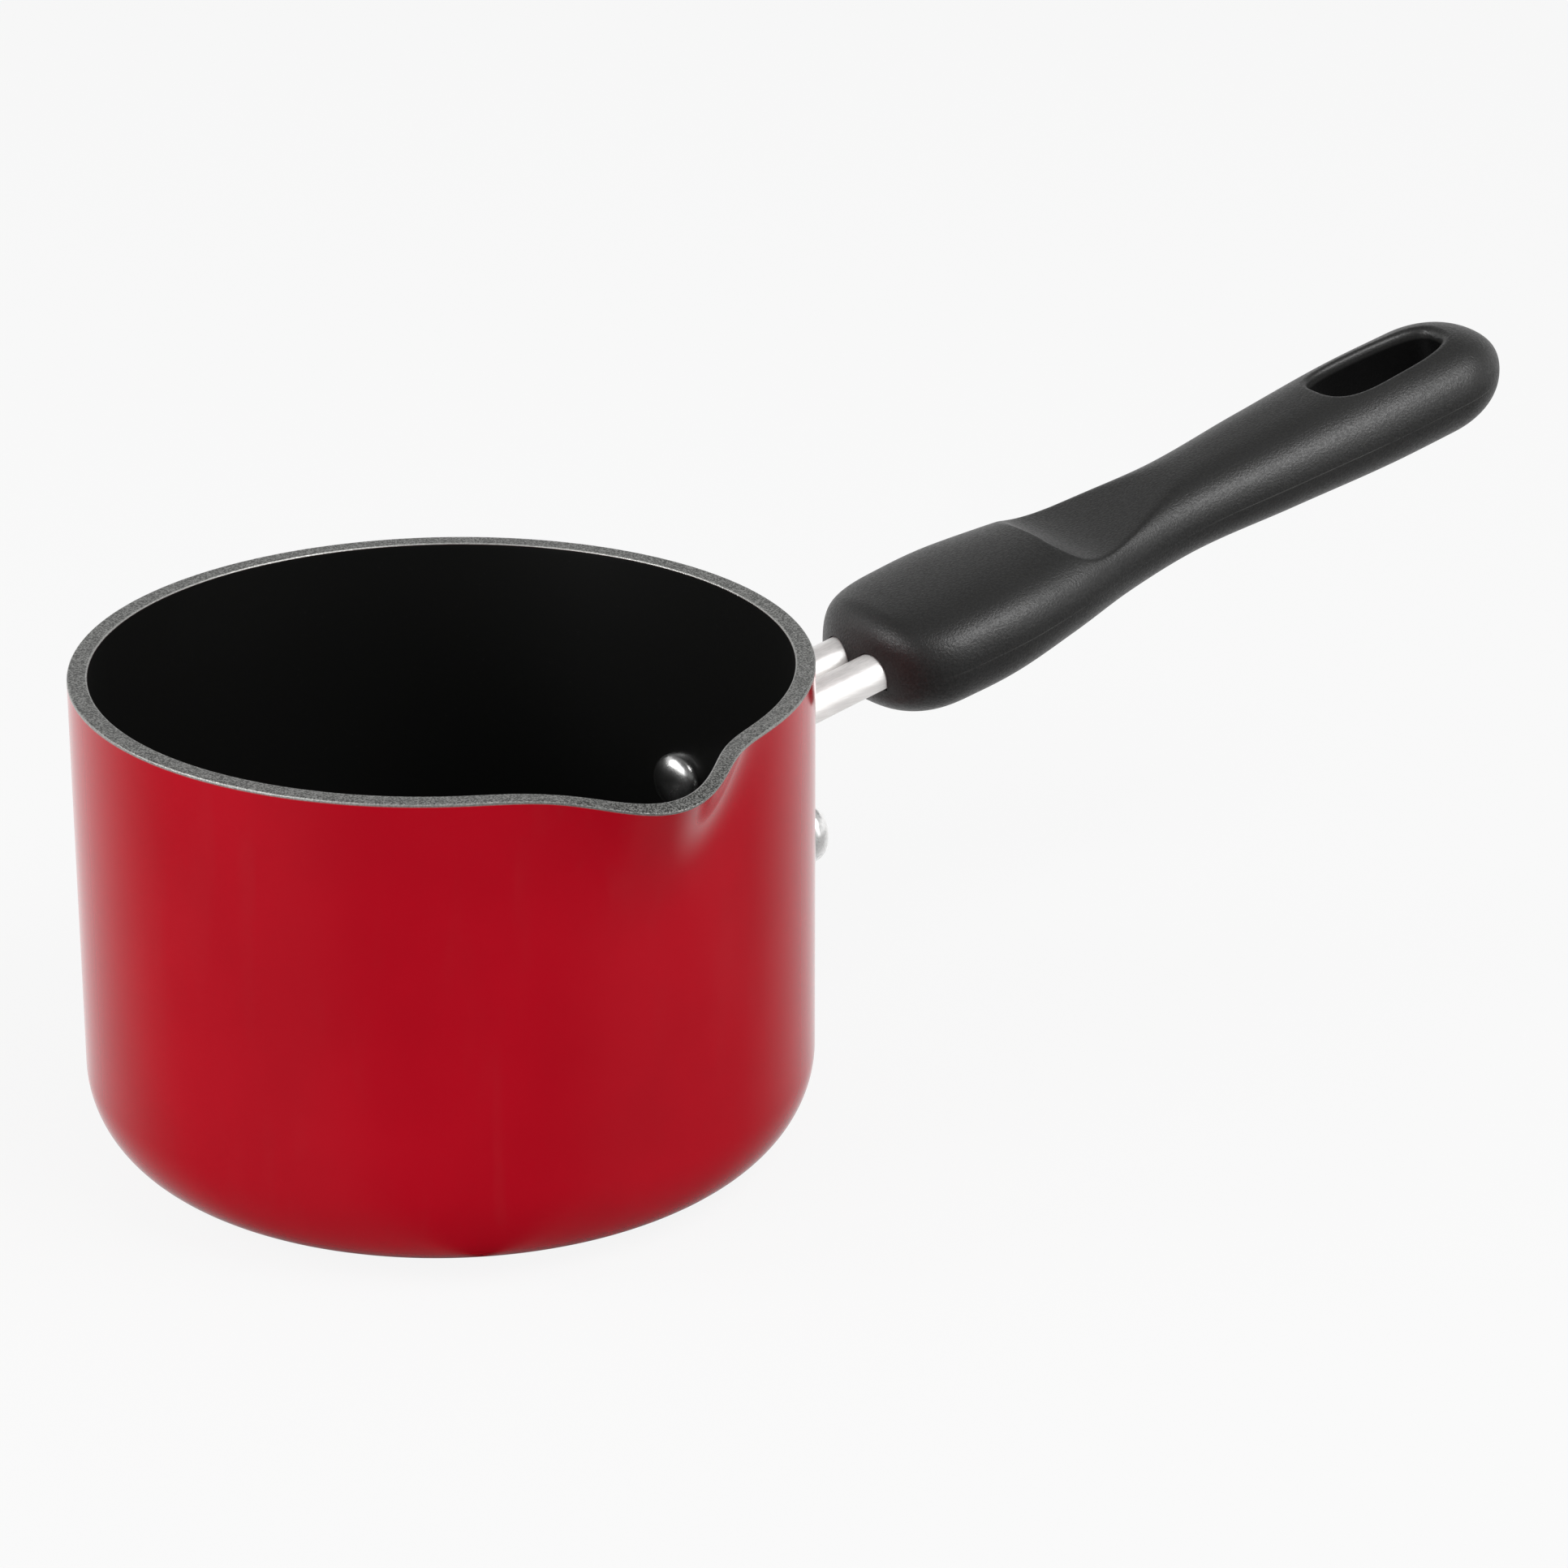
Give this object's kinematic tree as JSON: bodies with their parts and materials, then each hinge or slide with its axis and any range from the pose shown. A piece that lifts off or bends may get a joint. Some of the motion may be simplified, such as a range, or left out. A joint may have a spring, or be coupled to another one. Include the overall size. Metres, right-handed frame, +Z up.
{
  "type": "milk pan",
  "caption": "Small deep saucepan with a drawn pouring lip, riveted bracket and moulded grip with a hanging slot, for warming milk or sauce.",
  "frame": {"origin": "middle of the base, on the surface that the pan stands on", "axes": "+Z up along the pan's axis, +X along the handle, pouring lip towards -Y"},
  "size_m": [0.3428, 0.1598, 0.1261],
  "materials": {
    "pan": "gloss red enamel outside, black non-stick inside, bare cut rim",
    "steel": "polished",
    "rivet": "polished",
    "phenolic": "satin moulded",
    "brass": "plain turned"
  },
  "bodies": {
    "root": {"pan_body": "pan", "handle_bracket": "steel", "rivet_left": "rivet", "rivet_right": "rivet", "handle": "phenolic", "threaded_insert": "brass", "handle_screw": "steel", "spring_washer": "steel"}
  },
  "joints": []
}
